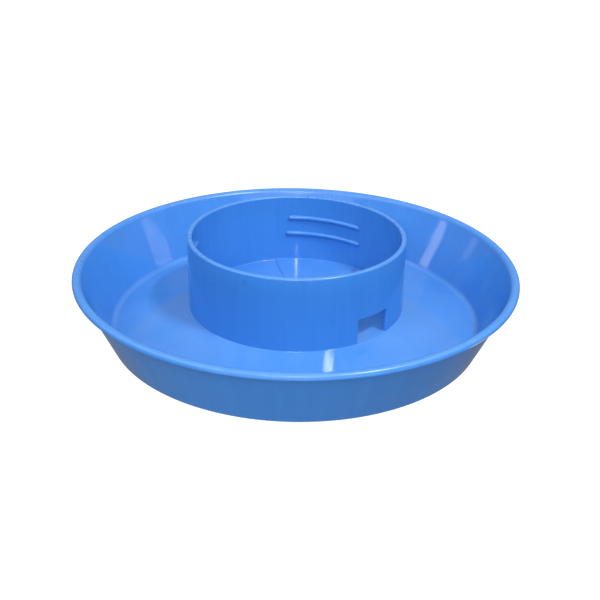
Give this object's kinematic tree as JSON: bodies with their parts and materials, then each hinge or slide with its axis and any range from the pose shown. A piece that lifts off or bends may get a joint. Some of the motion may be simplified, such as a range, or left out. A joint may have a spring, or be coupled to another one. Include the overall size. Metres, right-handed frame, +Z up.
{
  "type": "poultry waterer base",
  "caption": "Round blue plastic drinking dish with an upright threaded jar collar and an outlet window, the screw-on base of a poultry waterer fount.",
  "frame": {"origin": "centre of the circle that the base stands on, at the level of its underside", "axes": "+Z up along the collar, -Y towards the outlet window"},
  "size_m": [0.151, 0.151, 0.0329],
  "materials": {
    "blue_plastic": "semi-gloss moulded blue plastic"
  },
  "bodies": {
    "root": {"foot_ring": "blue_plastic", "trough_floor": "blue_plastic", "dish_wall": "blue_plastic", "rim_lip": "blue_plastic", "collar_floor": "blue_plastic", "jar_collar": "blue_plastic", "thread_rib_right_upper": "blue_plastic", "thread_rib_right_lower": "blue_plastic", "thread_rib_front_upper": "blue_plastic", "thread_rib_front_lower": "blue_plastic", "thread_rib_left_upper": "blue_plastic", "thread_rib_left_lower": "blue_plastic"}
  },
  "joints": []
}
